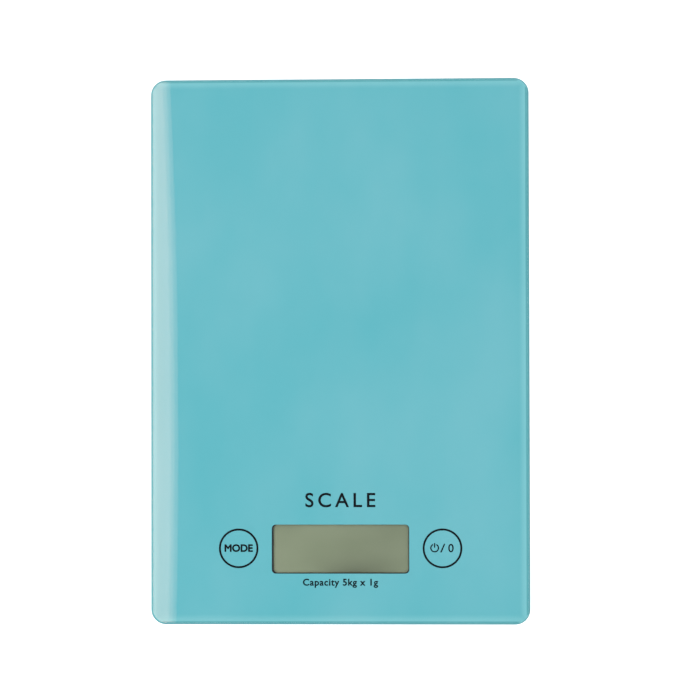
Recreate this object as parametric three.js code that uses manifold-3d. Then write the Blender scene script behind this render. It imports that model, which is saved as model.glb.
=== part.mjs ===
// Slim electronic kitchen scale. A tempered glass platform, printed on its back, is bonded to a shallow
// plastic housing that holds the display, the touch keys, a coin cell and four load cells, and stands on
// four feet that press on those cells.
// Millimetres, +Z up. The display is on the -Y side, towards the user. The origin is on the table, under
// the middle of the platform.
import * as THREE from "three";
import { mergeVertices } from "three/addons/utils/BufferGeometryUtils.js";
import Module from "manifold-3d";

const wasm = await Module();
wasm.setup();

// ---------------------------------------------------------------- driving dimensions

const GLASS = { width: 150, depth: 216, thickness: 4, corner: 6, round: 0.9, arris: 0.4 };
const WINDOW = { width: 54.5, depth: 19.4, corner: 1.6, y: -78.3 };
const DISPLAY_Y = -78; // middle of the display, and of the touch keys beside it
const KEY_X = 40.4; // the touch keys stand either side of the window, level with it
const HOUSING = { width: 139, depth: 205, corner: 9 };
const FOOT = { x: 55, y: 84.5, radius: 7.5, travel: 0.5 }; // the travel ends at the frame's stop
const BATTERY = { y: -38, cellRadius: 10, cellHeight: 3.2 };

const GAP = 0.1; // between pieces that touch in the real object
const FILM = 0.3; // colour print and its film
const TAPE = 0.6; // foam tape and display gasket
const DECK = 1.4; // plate of the upper frame
const FLOOR = 1.6; // floor of the bottom cover
const BAY = 6.7; // clear height between floor and deck
const CLEARANCE = 2.4; // table to the bottom cover

// Heights above the table.
const Z_COVER = CLEARANCE;
const Z_FLOOR = Z_COVER + FLOOR;
const Z_DECK = Z_FLOOR + BAY;
const Z_TAPE = Z_DECK + DECK;
const Z_FILM = Z_TAPE + TAPE;
const Z_GLASS = Z_FILM + FILM;

// The load cells lie level between seats on the cover and posts on the frame.
const CELL = { width: 19, depth: 28, thickness: 1, z: 7.2 };
const CELL_CORNER = { x: 8.1, y: 11.4 }; // seats and posts, from the foot's axis

const BOARD = { width: 90, depth: 30, thickness: 1.2, y: -76.8, z: 5.4 };
const BOARD_TOP = BOARD.z + BOARD.thickness;
const BOARD_SCREW = { x: 42.3, y: 12.5, boss: 2.3, pilot: 0.9, shank: 0.8, head: 1.9 };

const CASE_SCREW = { boss: 4.2, bossTop: 8.1, well: 2.9, wellTop: 5.2, hole: 1.35, pilot: 1.2, shank: 1.1 };
const CASE_SCREWS = {
  rear: [0, 95],
  front: [0, -96.9],
  rear_left: [-61, 50],
  rear_right: [61, 50],
  front_left: [-61, -45],
  front_right: [61, -45],
};

const DOOR = { width: 28, depth: 30, thickness: 1.5, play: 0.2 };
const HINGE = { z: 3.2, radius: 0.8, pin: 0.45, pinLength: 1.5 };
const DOOR_REAR = BATTERY.y + DOOR.depth / 2; // the hinged edge
const DOOR_FRONT = BATTERY.y - DOOR.depth / 2; // the latched edge

const CORNERS = {
  front_left: [-1, -1],
  front_right: [1, -1],
  rear_left: [-1, 1],
  rear_right: [1, 1],
};

// ---------------------------------------------------------------- materials

const finish = (color, roughness, metalness = 0, more = {}) =>
  new THREE.MeshStandardMaterial({ color, roughness, metalness, ...more });
const clearGlass = finish(0xdff1ee, 0.05, 0, { transparent: true, opacity: 0.35 });
const turquoisePrint = finish(0x6cbec9, 0.4);
const displayGlass = finish(0x8d9a7e, 0.2);
const displayMetal = finish(0x9aa089, 0.45, 0.3);
const whitePlastic = finish(0xe9ebea, 0.5);
const blackFoam = finish(0x1c1c1e, 0.95);
const greyRubber = finish(0x8a8d90, 0.85);
const greenBoard = finish(0x1f6b3c, 0.45);
const blackResin = finish(0x141414, 0.35);
const brightSteel = finish(0xb9bcc0, 0.3, 1);
const springSteel = finish(0x9da2a8, 0.4, 1);
const cellSteel = finish(0xc8cacc, 0.25, 1);
const whiteSilicone = finish(0xf1efe8, 0.6);
const tantalum = finish(0xb57a2c, 0.5);
const leadJacket = finish(0x2b2b2d, 0.5);
const redJacket = finish(0xb3221d, 0.5);

// ---------------------------------------------------------------- shapes

// A solid for boolean work, from any closed geometry.
function solid(shape) {
  if (!shape.isBufferGeometry) return shape;
  const bare = shape.clone();
  bare.deleteAttribute("normal");
  bare.deleteAttribute("uv");
  const merged = mergeVertices(bare, 1e-4);
  const triVerts = new Uint32Array(merged.index.array);
  return new wasm.Manifold(
    new wasm.Mesh({ numProp: 3, vertProperties: merged.attributes.position.array, triVerts }),
  );
}

const join = (...shapes) => shapes.map(solid).reduce((whole, part) => whole.add(part));
const cut = (whole, ...shapes) =>
  shapes.map(solid).reduce((left, part) => left.subtract(part), solid(whole));

// The faces of a solid, flat shaded.
function geometryOf(made) {
  const { vertProperties, triVerts } = made.getMesh();
  const geometry = new THREE.BufferGeometry()
    .setAttribute("position", new THREE.BufferAttribute(vertProperties, 3))
    .setIndex(new THREE.BufferAttribute(triVerts, 1))
    .toNonIndexed();
  geometry.computeVertexNormals();
  return geometry;
}

// A rectangle with round corners, centred on (x, y).
function roundedRect(width, depth, radius, x = 0, y = 0, Kind = THREE.Shape) {
  const outline = new Kind();
  const [dx, dy] = [width / 2 - radius, depth / 2 - radius];
  const quarter = Math.PI / 2;
  [[1, -1], [1, 1], [-1, 1], [-1, -1]].forEach(([sx, sy], i) =>
    outline.absarc(x + sx * dx, y + sy * dy, radius, (i - 1) * quarter, i * quarter),
  );
  return outline;
}

// An outline raised from z0 to z1. Each corner arc gets twice the segments given.
const slab = (outline, z0, z1, curveSegments = 3) =>
  new THREE.ExtrudeGeometry(outline, {
    depth: z1 - z0,
    bevelEnabled: false,
    curveSegments,
  }).translate(0, 0, z0);

function frame(outer, inner, z0, z1) {
  outer.holes.push(inner);
  return slab(outer, z0, z1);
}

const rod = (radius, z0, z1, x = 0, y = 0, sides = 18) =>
  new THREE.CylinderGeometry(radius, radius, z1 - z0, sides)
    .rotateX(Math.PI / 2)
    .translate(x, y, (z0 + z1) / 2);

const block = (width, depth, z0, z1, x = 0, y = 0) =>
  new THREE.BoxGeometry(width, depth, z1 - z0).translate(x, y, (z0 + z1) / 2);

// A body turned about Z from a profile of [radius, z] that starts and ends on the axis.
const turned = (profile, sides = 20) =>
  new THREE.LatheGeometry(profile.map(([r, z]) => new THREE.Vector2(r, z)), sides).rotateX(Math.PI / 2);

// A solid through a stack of rounded rectangles, each [width, depth, corner radius, z], from the bottom up.
function loft(sections) {
  const arcSteps = 6;
  const rings = sections.map(([width, depth, radius, z]) => {
    const ring = [];
    for (let i = 0; i < 4 * (arcSteps + 1); i++) {
      const corner = Math.floor(i / (arcSteps + 1));
      const angle = ((corner + (i % (arcSteps + 1)) / arcSteps) * Math.PI) / 2;
      const sx = corner === 0 || corner === 3 ? 1 : -1;
      const sy = corner < 2 ? 1 : -1;
      ring.push([
        sx * (width / 2 - radius) + radius * Math.cos(angle),
        sy * (depth / 2 - radius) + radius * Math.sin(angle),
        z,
      ]);
    }
    return ring;
  });
  const count = rings[0].length;
  const index = [];
  for (let i = 0; i < count; i++) {
    const next = (i + 1) % count;
    for (let level = 0; level + 1 < rings.length; level++) {
      const [low, high] = [level * count, (level + 1) * count];
      index.push(low + i, low + next, high + next, low + i, high + next, high + i);
    }
    if (i > 1) {
      const top = (rings.length - 1) * count;
      index.push(0, i, i - 1, top, top + i - 1, top + i);
    }
  }
  return new THREE.BufferGeometry()
    .setAttribute("position", new THREE.Float32BufferAttribute(rings.flat(2), 3))
    .setIndex(index);
}

// A round lead through the points given.
const lead = (radius, points, steps) =>
  new THREE.ExtrudeGeometry(
    new THREE.Shape(new THREE.EllipseCurve(0, 0, radius, radius).getPoints(6).slice(0, 6)),
    { steps, extrudePath: new THREE.CatmullRomCurve3(points.map((p) => new THREE.Vector3(...p))) },
  );

// A bent strip of sheet metal: a path of [x, z] as thick as given, centred on y and as wide as given.
function strip(path, thickness, width, y) {
  const points = path.map(([x, z]) => new THREE.Vector2(x, z));
  const side = points.map((point, i) => {
    const before = points[Math.max(i - 1, 0)];
    const after = points[Math.min(i + 1, points.length - 1)];
    const along = after.clone().sub(before).normalize();
    return new THREE.Vector2(-along.y, along.x).multiplyScalar(thickness / 2);
  });
  const outline = new THREE.Shape([
    ...points.map((point, i) => point.clone().sub(side[i])),
    ...points.map((point, i) => point.clone().add(side[i])).reverse(),
  ]);
  return slab(outline, -width / 2, width / 2).rotateX(Math.PI / 2).translate(0, y, 0);
}

class Helix extends THREE.Curve {
  constructor(radius, z0, z1, turns) {
    super();
    Object.assign(this, { radius, z0, z1, turns });
  }
  getPoint(t, target = new THREE.Vector3()) {
    const angle = t * this.turns * 2 * Math.PI;
    const z = this.z0 + (this.z1 - this.z0) * t;
    return target.set(this.radius * Math.cos(angle), this.radius * Math.sin(angle), z);
  }
}

// ---------------------------------------------------------------- the assembly

const kitchenScale = new THREE.Group();

function piece(name, shape, material, parent = kitchenScale) {
  const mesh = new THREE.Mesh(shape.isBufferGeometry ? shape : geometryOf(shape), material);
  mesh.name = name;
  parent.add(mesh);
  return mesh;
}

// The platform: glass with a ground, rounded edge, and the print and film on its back, held by foam tape.
function addPlatform() {
  const { width, depth, thickness, corner, round, arris } = GLASS;
  const section = (inset, z) => [width - 2 * inset, depth - 2 * inset, corner - inset, Z_GLASS + z];
  const top = [0, 1, 2, 3].map((i) => {
    const turn = (i * Math.PI) / 6;
    return section(round * (1 - Math.cos(turn)), thickness - round * (1 - Math.sin(turn)));
  });
  piece("glass_platform", loft([section(arris, 0), section(0, arris), ...top]), clearGlass);

  const [printX, printY] = [width - 2 * arris, depth - 2 * arris];
  const print = roundedRect(printX, printY, corner - arris);
  const clearing = roundedRect(WINDOW.width, WINDOW.depth, WINDOW.corner, 0, WINDOW.y, THREE.Path);
  piece("colour_film", frame(print, clearing, Z_FILM, Z_GLASS), turquoisePrint);

  const tapeWidth = 5;
  const [tapeX, tapeY, tapeCorner] = [HOUSING.width - 6, HOUSING.depth - 6, HOUSING.corner - 2];
  const tapeInner = roundedRect(tapeX - 2 * tapeWidth, tapeY - 2 * tapeWidth, 2, 0, 0, THREE.Path);
  const tapeOuter = roundedRect(tapeX, tapeY, tapeCorner);
  piece("platform_tape", frame(tapeOuter, tapeInner, Z_TAPE, Z_FILM), blackFoam);

  // The gasket's hole is a little smaller than the window and right of it, so that the foam shows as a
  // thin dark line along the window's left, right and front edges.
  const [holeX, holeY] = [WINDOW.width - 1, WINDOW.depth - 0.4];
  const gasket = roundedRect(68, 32, 2, 0, DISPLAY_Y);
  const gasketHole = roundedRect(holeX, holeY, WINDOW.corner, 0.2, WINDOW.y + 0.15, THREE.Path);
  piece("display_gasket", frame(gasket, gasketHole, Z_TAPE + 2 * GAP, Z_FILM), blackFoam);
}

// The deck that carries the glass, with a skirt inside the cover's wall, stiffening ribs, bosses for the
// screws, posts that bear on the load cells, and a stop over each cell's tongue.
function addUpperFrame() {
  const skirt = frame(
    roundedRect(HOUSING.width - 4.6, HOUSING.depth - 4.6, 8.2),
    roundedRect(HOUSING.width - 7, HOUSING.depth - 7, 7, 0, 0, THREE.Path),
    Z_DECK - 1.7,
    Z_DECK + 0.2,
  );
  const underside = (w, d, z0, x, y) => block(w, d, z0, Z_DECK + 0.2, x, y);
  const ribs = [
    ...[-22, 22].map((x) => underside(1.2, 153, Z_DECK - 1.7, x, 19.5)),
    ...[-14, 24, 62].map((y) => underside(131, 1.2, Z_DECK - 1.7, 0, y)),
  ];
  const postZ = CELL.z + CELL.thickness + GAP;
  const posts = holdingSpots().map(([x, y]) => underside(2.4, 4, postZ, x, y));
  const stopZ = CELL.z + CELL.thickness + FOOT.travel + GAP;
  const stops = Object.values(CORNERS).map(([sx, sy]) =>
    rod(1.5, stopZ, Z_DECK + 0.2, sx * FOOT.x, sy * (FOOT.y + 1.5), 12),
  );
  const caseSpots = Object.values(CASE_SCREWS);
  const boardSpots = boardScrewSpots();
  const bosses = [
    ...caseSpots.map(([x, y]) => rod(3.2, CASE_SCREW.bossTop + GAP, Z_DECK + 0.2, x, y)),
    ...boardSpots.map(([x, y]) => rod(BOARD_SCREW.boss, BOARD_TOP + GAP, Z_DECK + 0.2, x, y, 12)),
  ];
  const openings = [
    slab(roundedRect(62.8, 26.8, 0.8, 0, DISPLAY_Y), Z_DECK - 1, Z_TAPE + 1),
    ...[-1, 1].map((side) => rod(6, Z_DECK - 1, Z_TAPE + 1, side * KEY_X, DISPLAY_Y, 24)),
    ...caseSpots.map(([x, y]) => rod(CASE_SCREW.pilot, 0, Z_TAPE - 0.6, x, y, 10)),
    ...boardSpots.map(([x, y]) => rod(BOARD_SCREW.pilot, 0, Z_DECK + 0.4, x, y, 8)),
  ];
  const deck = slab(roundedRect(HOUSING.width, HOUSING.depth, HOUSING.corner), Z_DECK, Z_TAPE);
  const whole = join(deck, skirt, ...ribs, ...posts, ...stops, ...bosses);
  piece("upper_frame", cut(whole, ...openings), whitePlastic);
}

// Four spots round each foot's axis, where its load cell is held.
function holdingSpots() {
  return Object.values(CORNERS).flatMap(([sx, sy]) =>
    [-1, 1].flatMap((px) =>
      [-1, 1].map((py) => [sx * FOOT.x + px * CELL_CORNER.x, sy * FOOT.y + py * CELL_CORNER.y]),
    ),
  );
}

function boardScrewSpots() {
  return Object.values(CORNERS).map(([sx, sy]) => [sx * BOARD_SCREW.x, BOARD.y + sy * BOARD_SCREW.y]);
}

// The tray that closes the housing from below: rounded lower edge, drafted walls, foot holes, screw wells,
// seats for the load cells and the coin cell's pocket over the door's recess.
function addBottomCover() {
  const { width, depth, corner } = HOUSING;
  const top = Z_DECK - GAP;
  const round = 2; // radius of the lower edge
  const lean = 1.6; // how much narrower the walls are at the lower edge than at the rim
  const edgeStep = (turn) => {
    const inset = 2 * (round * (1 - Math.sin(turn)));
    const z = Z_COVER + round * (1 - Math.cos(turn));
    return [width - lean - inset, depth - lean - inset, corner - lean / 2 - inset / 2, z];
  };
  const lowerEdge = [0, 1, 2, 3].map((i) => edgeStep((i * Math.PI) / 6));
  const outer = loft([...lowerEdge, [width, depth, corner, top]]);
  const inner = loft([
    [width - 6, depth - 6, 6.6, Z_FLOOR],
    [width - 4.6, depth - 4.6, 7.2, Z_FLOOR + 1.4],
    [width - 3.6, depth - 3.6, 7.6, top + 1],
  ]);

  const caseSpots = Object.values(CASE_SCREWS);
  const seats = holdingSpots().map(([x, y]) => block(2.4, 4.6, Z_FLOOR - 0.2, CELL.z - GAP, x, y));
  const pocketRadius = BATTERY.cellRadius + 0.4;
  const recessTop = 4.1;
  const pocketTop = 8.4;
  const inside = [
    ...seats,
    ...caseSpots.map(([x, y]) => rod(CASE_SCREW.boss, Z_FLOOR - 0.2, CASE_SCREW.bossTop, x, y)),
    block(DOOR.width + 4, DOOR.depth + 4, Z_FLOOR - 0.2, recessTop + 1.2, 0, BATTERY.y),
    rod(pocketRadius + 1.6, Z_FLOOR - 0.2, pocketTop + 1, 0, BATTERY.y, 28),
  ];

  const recess = { width: DOOR.width + 2 * DOOR.play, depth: DOOR.depth + 2 * DOOR.play };
  const socketSpan = DOOR.width + 2 * HINGE.pinLength + 0.6;
  const sockets = new THREE.CylinderGeometry(HINGE.pin + 0.1, HINGE.pin + 0.1, socketSpan, 10)
    .rotateZ(Math.PI / 2)
    .translate(0, DOOR_REAR - HINGE.radius, HINGE.z);
  const below = Z_COVER - 1;
  const holes = [
    ...Object.values(CORNERS).flatMap(([sx, sy]) => [
      rod(FOOT.radius + 0.5, below, Z_FLOOR + 0.5, sx * FOOT.x, sy * FOOT.y, 24),
      rod(FOOT.radius + 1.6, below, Z_COVER + 0.5, sx * FOOT.x, sy * FOOT.y, 24),
    ]),
    ...caseSpots.flatMap(([x, y]) => [
      rod(CASE_SCREW.well, below, CASE_SCREW.wellTop, x, y),
      rod(CASE_SCREW.hole, below, CASE_SCREW.bossTop + 1, x, y, 10),
    ]),
    block(recess.width, recess.depth, below, recessTop, 0, BATTERY.y),
    rod(pocketRadius, below, pocketTop, 0, BATTERY.y, 28),
    block(9.4, 2.6, below, recessTop + 2, 0, DOOR_FRONT + 1.1), // for the latch
    block(10, 3.2, below, Z_COVER + 0.8, 0, DOOR_FRONT - 1.4), // finger notch
    block(1.4, 5, pocketTop - 0.5, pocketTop + 2, 8, BATTERY.y), // for the negative contact's tab
    block(1.6, 5.2, recessTop + 0.4, pocketTop + 2, -11, BATTERY.y), // for the positive contact
    sockets,
  ];
  piece("bottom_cover", cut(join(cut(outer, inner), ...inside), ...holes), whitePlastic);
}

// A pan-head screw standing on its head, with a cross recess.
function screw(head, headHeight, shank, length, sides) {
  const bevel = headHeight * 0.35;
  const body = turned(
    [
      [0, 0],
      [head - bevel, 0],
      [head, bevel],
      [head, headHeight],
      [shank, headHeight],
      [shank, headHeight + length - shank],
      [shank * 0.4, headHeight + length],
      [0, headHeight + length],
    ],
    sides,
  );
  const slot = [head * 1.1, head * 0.28, -1, headHeight * 0.5];
  return cut(body, block(...slot), block(slot[1], slot[0], slot[2], slot[3]));
}

function addScrews() {
  const caseScrew = geometryOf(screw(2.6, 1.5, CASE_SCREW.shank, 6, 16));
  for (const [spot, [x, y]] of Object.entries(CASE_SCREWS)) {
    const mesh = piece("case_screw_" + spot, caseScrew, brightSteel);
    mesh.position.set(x, y, CASE_SCREW.wellTop - GAP - 1.5);
  }
  const boardScrew = geometryOf(screw(BOARD_SCREW.head, 1.05, BOARD_SCREW.shank, 5, 12));
  boardScrewSpots().forEach(([x, y], i) => {
    const mesh = piece("board_screw_" + Object.keys(CORNERS)[i], boardScrew, brightSteel);
    mesh.position.set(x, y, BOARD.z - GAP - 1.05);
  });
}

// One sprung corner: the half-bridge load cell with its potted gauge, and the foot that presses on its
// tongue. The tongue's root points to the middle of the scale.
function addCorner(name, sx, sy) {
  const corner = new THREE.Group();
  corner.position.set(sx * FOOT.x, sy * FOOT.y, 0);
  corner.rotation.z = sy > 0 ? Math.PI : 0;
  kitchenScale.add(corner);

  const plate = roundedRect(CELL.width, CELL.depth, 1.5);
  const [slotX, slotFront, root] = [5.4, -9.5, 8.5];
  const [tongueX, tongueFront] = [4, -8.1];
  plate.holes.push(
    new THREE.Path(
      [
        [-slotX, root],
        [-slotX, slotFront],
        [slotX, slotFront],
        [slotX, root],
        [tongueX, root],
        [tongueX, tongueFront],
        [-tongueX, tongueFront],
        [-tongueX, root],
      ].map(([x, y]) => new THREE.Vector2(x, y)),
    ),
  );
  const cellTop = CELL.z + CELL.thickness;
  piece("load_cell_" + name, slab(plate, CELL.z, cellTop), cellSteel, corner);
  const gauge = slab(roundedRect(6.4, 6, 1.8, 0, 4.8), cellTop, cellTop + 1.1, 2);
  piece("strain_gauge_" + name, gauge, whiteSilicone, corner);

  const flangeZ = Z_FLOOR + 0.05;
  const padSeat = 1.6; // the pad's recess ends here
  const cup = turned([
    [0, padSeat],
    [6.4, padSeat],
    [6.4, 0.9],
    [FOOT.radius - 0.3, 0.9],
    [FOOT.radius, 1.2],
    [FOOT.radius, flangeZ],
    [9.2, flangeZ],
    [9.2, flangeZ + 0.95],
    [3.6, flangeZ + 0.95],
    [3.6, CELL.z - GAP],
    [0, CELL.z - GAP],
  ], 24);
  piece("foot_cup_" + name, cup, whitePlastic, corner);
  const pad = turned([[0, 0], [5.8, 0], [6.3, 0.5], [6.3, padSeat - 0.05], [0, padSeat - 0.05]]);
  piece("foot_pad_" + name, pad, greyRubber, corner);
}

// The board hangs under the deck on four screws. The display stands on it in its holder.
function addElectronics() {
  const outline = roundedRect(BOARD.width, BOARD.depth, 1, 0, BOARD.y);
  for (const [x, y] of boardScrewSpots()) {
    outline.holes.push(new THREE.Path().absarc(x, y, 1.2, 0, 2 * Math.PI));
  }
  piece("circuit_board", slab(outline, BOARD.z, BOARD_TOP, 5), greenBoard);

  const chip = turned([[0, -1], [3.2, -0.9], [4.6, -0.5], [5, 0], [0, 0]]);
  piece("controller_chip", chip.translate(-14, BOARD.y, BOARD.z), blackResin);
  piece("crystal", slab(roundedRect(6.5, 2.6, 1, 8, -70), BOARD.z - 1.05, BOARD.z, 2), brightSteel);
  piece("filter_capacitor", block(3.4, 2.6, BOARD.z - 1.1, BOARD.z, 20, -84), tantalum);

  for (const [side, name] of [[-1, "left"], [1, "right"]]) {
    const wire = 0.35;
    const coil = new Helix(3.2, BOARD_TOP + wire + GAP, Z_FILM - wire - GAP, 4);
    const section = new THREE.Shape(new THREE.EllipseCurve(0, 0, wire, wire).getPoints(5).slice(0, 5));
    const spring = new THREE.ExtrudeGeometry(section, { steps: 40, extrudePath: coil });
    piece("touch_spring_" + name, spring, springSteel).position.set(side * KEY_X, DISPLAY_Y, 0);
  }

  // The display's layers, from the window down. The upper glass overhangs the lower one at the front, where
  // the zebra strip meets its contacts.
  const [panelTop, pane, ledge] = [Z_TAPE - GAP, 1.1, 2.8];
  const panel = { width: 62, depth: 26 };
  const lowerY = DISPLAY_Y + ledge / 2;
  const layer = (w, d, y, z0, z1) => slab(roundedRect(w, d, 0.4, 0, y), z0, z1, 1);
  piece("lcd_front_polarizer", layer(56, 21.5, DISPLAY_Y, panelTop, panelTop + 0.2), displayGlass);
  const upper = layer(panel.width, panel.depth, DISPLAY_Y, panelTop - pane, panelTop);
  piece("lcd_upper_glass", upper, displayGlass);
  const lower = layer(panel.width, panel.depth - ledge, lowerY, panelTop - 2 * pane, panelTop - pane);
  piece("lcd_lower_glass", lower, displayGlass);
  const rear = panelTop - 2 * pane;
  piece("lcd_reflector", layer(56, 21, lowerY, rear - 0.2, rear), displayMetal);

  const zebraY = DISPLAY_Y - panel.depth / 2 + 1.2;
  piece("zebra_strip", block(54, 2.2, BOARD_TOP + GAP, panelTop - pane - GAP, 0, zebraY), blackFoam);
  const holderWall = frame(
    roundedRect(66, 28.4, 1, 0, DISPLAY_Y),
    roundedRect(62.6, 26.6, 0.6, 0, DISPLAY_Y, THREE.Path),
    BOARD_TOP + GAP,
    Z_DECK - GAP,
  );
  const ledges = [-1, 1].map((side) => block(3, 20, rear - 1, rear - 0.3, side * 30.2, lowerY));
  piece("lcd_holder", join(holderWall, ...ledges), whitePlastic);
}

// Two leads from the coin cell's contacts and one three-core cable from each load cell, all soldered along
// the rear edge of the board.
function addWiring() {
  const joint = BOARD.y + BOARD.depth / 2 - 0.8;
  for (const [name, [sx, sy]] of Object.entries(CORNERS)) {
    const frontRoute = [
      [55, -76.4, 9.1],
      [55, -69.5, 9.1],
      [52.5, -62.5, 8.4],
      [46, -57, 7.5],
      [36, -56.5, 7.3],
      [30.5, -59, 7.4],
      [30, joint, 7.45],
    ];
    const rearRoute = [
      [55, 76.4, 9.1],
      [55, 69, 9.1],
      [53.5, 58, 6.6],
      [53, 45, 5.2],
      [53, 5, 5.2],
      [53, -35, 5.2],
      [50, -48, 5.6],
      [40, -53, 6.6],
      [28, -54.5, 7.2],
      [22.5, -58, 7.4],
      [22, joint, 7.45],
    ];
    const route = (sy < 0 ? frontRoute : rearRoute).map(([x, y, z]) => [sx * x, y, z]);
    piece("load_cell_cable_" + name, lead(0.75, route, sy < 0 ? 12 : 26), leadJacket);
  }
  const batteryRoute = (x, start) => [
    [x, start, 10],
    [x, -48.5, 10],
    [x, -55, 8.7],
    [x, -59.5, 7.5],
    [x, joint, 7.2],
  ];
  piece("battery_lead_negative", lead(0.5, batteryRoute(8, -40.7), 12), leadJacket);
  piece("battery_lead_positive", lead(0.5, batteryRoute(-10.9, -40.7), 12), redJacket);
}

// The coin cell, its two sprung contacts and the hinged door below it.
function addBattery() {
  const cellZ = 4.15;
  const top = cellZ + BATTERY.cellHeight;
  const can = BATTERY.cellRadius;
  const cell = turned(
    [
      [0, cellZ],
      [can - 0.6, cellZ],
      [can, cellZ + 0.5],
      [can, top - 0.5],
      [can - 0.8, top - 0.3],
      [can - 1.2, top - 0.3],
      [can - 1.6, top],
      [0, top],
    ],
    28,
  ).translate(0, BATTERY.y, 0);
  piece("coin_cell", cell, brightSteel);

  const sheet = 0.3;
  const arch = top + GAP + sheet / 2;
  const negative = [
    [-6, arch + 0.5],
    [-2, arch + 0.1],
    [0, arch],
    [2, arch + 0.1],
    [6, arch + 0.5],
    [7.8, arch + 0.6],
    [8, arch + 0.9],
    [8, 10.2],
  ];
  piece("battery_contact_negative", strip(negative, sheet, 4, BATTERY.y), springSteel);
  const positive = [
    [-10.9, 4.8],
    [-10.4, 5.7],
    [-10.4, 6.3],
    [-11, 8],
    [-11, 10.2],
  ];
  piece("battery_contact_positive", strip(positive, sheet, 4, BATTERY.y), springSteel);

  const door = new THREE.Group();
  door.position.set(0, DOOR_REAR - HINGE.radius, HINGE.z);
  kitchenScale.add(door);
  const low = Z_COVER - HINGE.z;
  const high = low + DOOR.thickness;
  const reach = DOOR.depth - HINGE.radius;
  const plate = slab(roundedRect(DOOR.width, reach + 4, 0.6, 0, 2 - reach / 2), low, high);
  const hinge = (radius, length) =>
    new THREE.CylinderGeometry(radius, radius, length, 12).rotateZ(Math.PI / 2);
  const behindAxis = block(DOOR.width + 2, 6, low - 1, high + 1, 0, 3);
  const grips = [0, 1, 2].map((i) => block(9, 0.8, low - 0.3, low + 0.3, 0, 4.5 - reach + i * 1.8));
  const latch = block(8, 1, high - 0.2, high + 1.1, 0, 1.2 - reach);
  const hook = block(8, 0.5, high + 0.5, high + 1.1, 0, 0.5 - reach);
  const doorSolid = join(
    cut(plate, behindAxis),
    hinge(HINGE.radius, DOOR.width),
    hinge(HINGE.pin, DOOR.width + 2 * HINGE.pinLength),
    ...grips,
    latch,
    hook,
  );
  piece("battery_door", doorSolid, whitePlastic, door);
}

addPlatform();
addUpperFrame();
addBottomCover();
addScrews();
for (const [name, [sx, sy]] of Object.entries(CORNERS)) addCorner(name, sx, sy);
addElectronics();
addWiring();
addBattery();

export default kitchenScale;
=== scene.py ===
"""Looks of a slim glass kitchen scale: a back-printed glass platform on a white housing with a grey-green
display, load cells in the corners and a coin cell behind a hinged door.

Every piece is made in mesh code in millimetres, in the frame of the CAD model, and placed from its boxes.
"""
from math import cos, pi, radians, sin

import bmesh
import bpy
from mathutils import Matrix, Vector


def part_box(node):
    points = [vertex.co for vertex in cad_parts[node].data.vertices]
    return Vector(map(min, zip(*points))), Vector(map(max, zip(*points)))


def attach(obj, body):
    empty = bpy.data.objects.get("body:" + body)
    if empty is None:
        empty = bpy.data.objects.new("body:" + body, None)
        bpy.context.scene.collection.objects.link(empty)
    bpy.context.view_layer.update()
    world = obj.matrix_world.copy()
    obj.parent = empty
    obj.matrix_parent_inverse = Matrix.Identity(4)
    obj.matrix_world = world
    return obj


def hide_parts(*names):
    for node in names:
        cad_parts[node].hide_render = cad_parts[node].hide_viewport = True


MM = 0.001
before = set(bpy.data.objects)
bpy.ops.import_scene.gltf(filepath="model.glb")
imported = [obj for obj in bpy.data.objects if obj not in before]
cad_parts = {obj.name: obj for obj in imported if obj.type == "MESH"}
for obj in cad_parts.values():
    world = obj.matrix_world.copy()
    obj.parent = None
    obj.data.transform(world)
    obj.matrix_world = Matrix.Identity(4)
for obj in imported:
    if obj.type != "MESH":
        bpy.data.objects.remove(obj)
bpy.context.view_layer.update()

CORNERS = {"front_left": (-1, -1), "front_right": (1, -1), "rear_left": (-1, 1), "rear_right": (1, 1)}


# ---------------------------------------------------------------- places, from the CAD model's boxes


class Box:
    """A CAD node's box at rest, in millimetres."""

    def __init__(self, node):
        low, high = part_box(node)
        self.low = low / MM
        self.high = high / MM
        self.size = self.high - self.low
        self.x, self.y, self.z = (self.low + self.high) / 2


GLASS = Box("glass_platform")
FILM = Box("colour_film")
TAPE = Box("platform_tape")
GASKET = Box("display_gasket")
DECK = Box("upper_frame")
COVER = Box("bottom_cover")
BOARD = Box("circuit_board")
JOINTS_Y = BOARD.high.y - 0.8  # the row of joints where the wires end
LCD = Box("lcd_upper_glass")
DOOR = Box("battery_door")
CELL = Box("coin_cell")
LOAD_CELL = Box("load_cell_front_left")

GLASS_CORNER = 6
RIM_NORMAL = 0.93  # the glass's faces whose normals are less upright than this make up its rim
TAPE_WIDTH = 5
HOUSING_CORNER = 9
WINDOW = {"width": 54.5, "depth": 19.4, "corner": 1.6, "y": LCD.y - 0.3}
KEY_Y = Box("touch_spring_right").y
KEY_X = Box("touch_spring_right").x
DECK_LOW = DECK.high.z - 1.4  # underside of the upper frame's plate
FLOOR_TOP = COVER.low.z + 1.6  # inside of the cover
BAY_DEPTH = 30  # the battery bay, front to rear
BAY_LOW = 2.4  # the bay's mouth, level with the cover's lower face
FOOT = Box("foot_cup_rear_right")
CASE_SCREWS = ["rear", "front", "rear_left", "rear_right", "front_left", "front_right"]
HINGE = {"y": DOOR.high.y - 0.8, "z": 3.2, "radius": 0.8, "pin": 0.45}


# ---------------------------------------------------------------- outlines and solids


def rounded_rect(width, depth, radius, x=0, y=0, steps=12):
    """The points of a rectangle with round corners, anticlockwise."""
    points = []
    for corner, (sx, sy) in enumerate(((1, 1), (-1, 1), (-1, -1), (1, -1))):
        for i in range(steps + 1):
            turn = (corner + i / steps) * pi / 2
            across = sx * (width / 2 - radius) + radius * cos(turn)
            along = sy * (depth / 2 - radius) + radius * sin(turn)
            points.append((x + across, y + along))
    return points


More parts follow.
